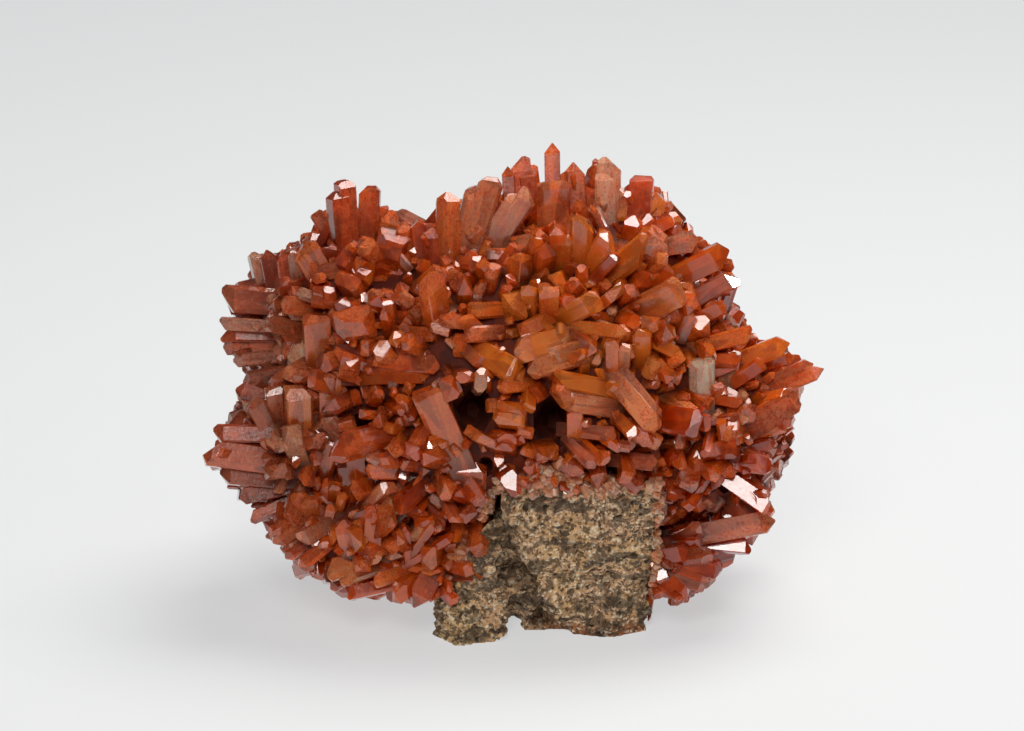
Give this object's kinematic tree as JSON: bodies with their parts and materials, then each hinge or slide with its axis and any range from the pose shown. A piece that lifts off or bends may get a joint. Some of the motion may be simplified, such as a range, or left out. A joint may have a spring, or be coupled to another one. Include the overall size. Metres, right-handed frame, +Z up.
{
  "type": "hopeite mineral specimen on matrix",
  "caption": "Rounded cluster of orange-brown prismatic hopeite crystals grown over a block of porous grey-tan rock, which stands on the flat foot of the rock.",
  "frame": {"origin": "middle of the rock's flat foot, on the surface that the specimen stands on", "axes": "+Z up; the face shown in the picture looks along -Y; +X to the right of that face, along the longest extent"},
  "size_m": [0.0618, 0.038, 0.0468],
  "materials": {
    "hopeite": "translucent orange-brown crystal, glassy faces with pinkish dull films",
    "matrix": "rough, porous and granular broken rock"
  },
  "bodies": {
    "root": {"matrix_rock": "matrix", "hopeite_crystals": "hopeite"}
  },
  "joints": []
}
